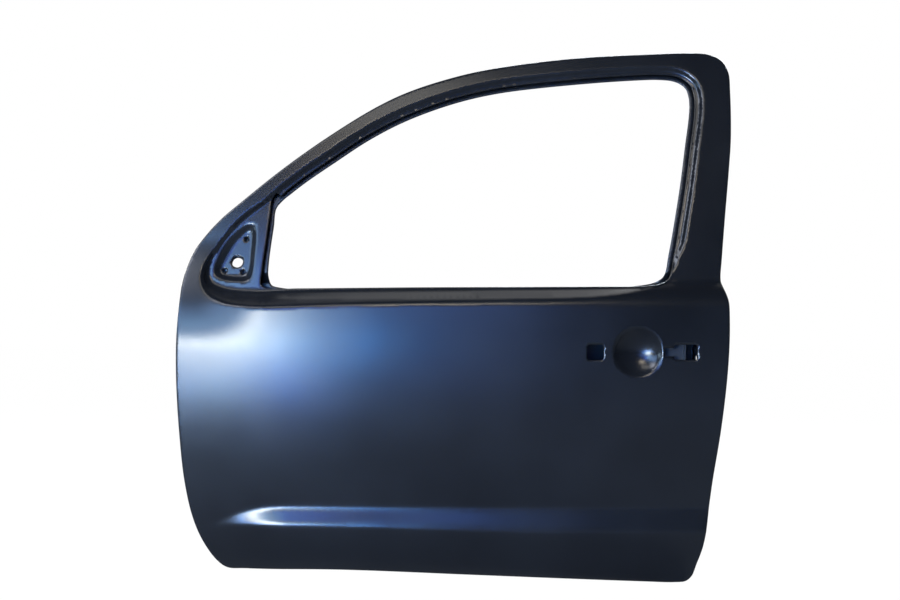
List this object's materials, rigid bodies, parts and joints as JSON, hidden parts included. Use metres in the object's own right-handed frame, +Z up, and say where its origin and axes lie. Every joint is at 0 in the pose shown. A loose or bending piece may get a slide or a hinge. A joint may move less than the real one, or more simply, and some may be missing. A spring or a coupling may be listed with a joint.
{
  "type": "vehicle door shell",
  "caption": "Pressed steel front door shell for a single-cab pickup, with an open window frame, mirror pocket, handle bowl, hinge and latch faces, and trim, speaker and glass openings.",
  "frame": {"origin": "centre of the upper hinge face, on the outside of the hinge wall", "axes": "+Z up, +X to the rear of the vehicle, -Y outwards from the vehicle"},
  "size_m": [1.1957, 0.1852, 1.1473],
  "materials": {
    "outer_primer": "satin black dip coat",
    "inner_primer": "satin black dip coat",
    "reinforcement_primer": "satin black dip coat",
    "nut_primer": "satin black dip coat over weld nuts",
    "mastic": "matt expanded mastic"
  },
  "bodies": {
    "root": {"outer_panel": "outer_primer", "inner_panel": "inner_primer", "upper_hinge_reinforcement": "reinforcement_primer", "lower_hinge_reinforcement": "reinforcement_primer", "check_link_reinforcement": "reinforcement_primer", "latch_reinforcement": "reinforcement_primer", "mirror_reinforcement": "reinforcement_primer", "outer_belt_reinforcement": "reinforcement_primer", "inner_belt_reinforcement": "reinforcement_primer", "impact_beam": "reinforcement_primer", "impact_beam_front_bracket": "reinforcement_primer", "impact_beam_rear_bracket": "reinforcement_primer", "front_glass_channel": "reinforcement_primer", "front_glass_channel_bracket": "reinforcement_primer", "rear_glass_channel": "reinforcement_primer", "rear_glass_channel_bracket": "reinforcement_primer", "handle_reinforcement": "reinforcement_primer", "pull_handle_bracket": "reinforcement_primer", "upper_hinge_nut_1": "nut_primer", "upper_hinge_nut_2": "nut_primer", "lower_hinge_nut_1": "nut_primer", "lower_hinge_nut_2": "nut_primer", "check_link_nut_1": "nut_primer", "check_link_nut_2": "nut_primer", "mirror_nut_1": "nut_primer", "mirror_nut_2": "nut_primer", "mirror_nut_3": "nut_primer", "mastic_pad_1": "mastic", "mastic_pad_2": "mastic", "mastic_pad_3": "mastic", "mastic_pad_4": "mastic"}
  },
  "joints": []
}
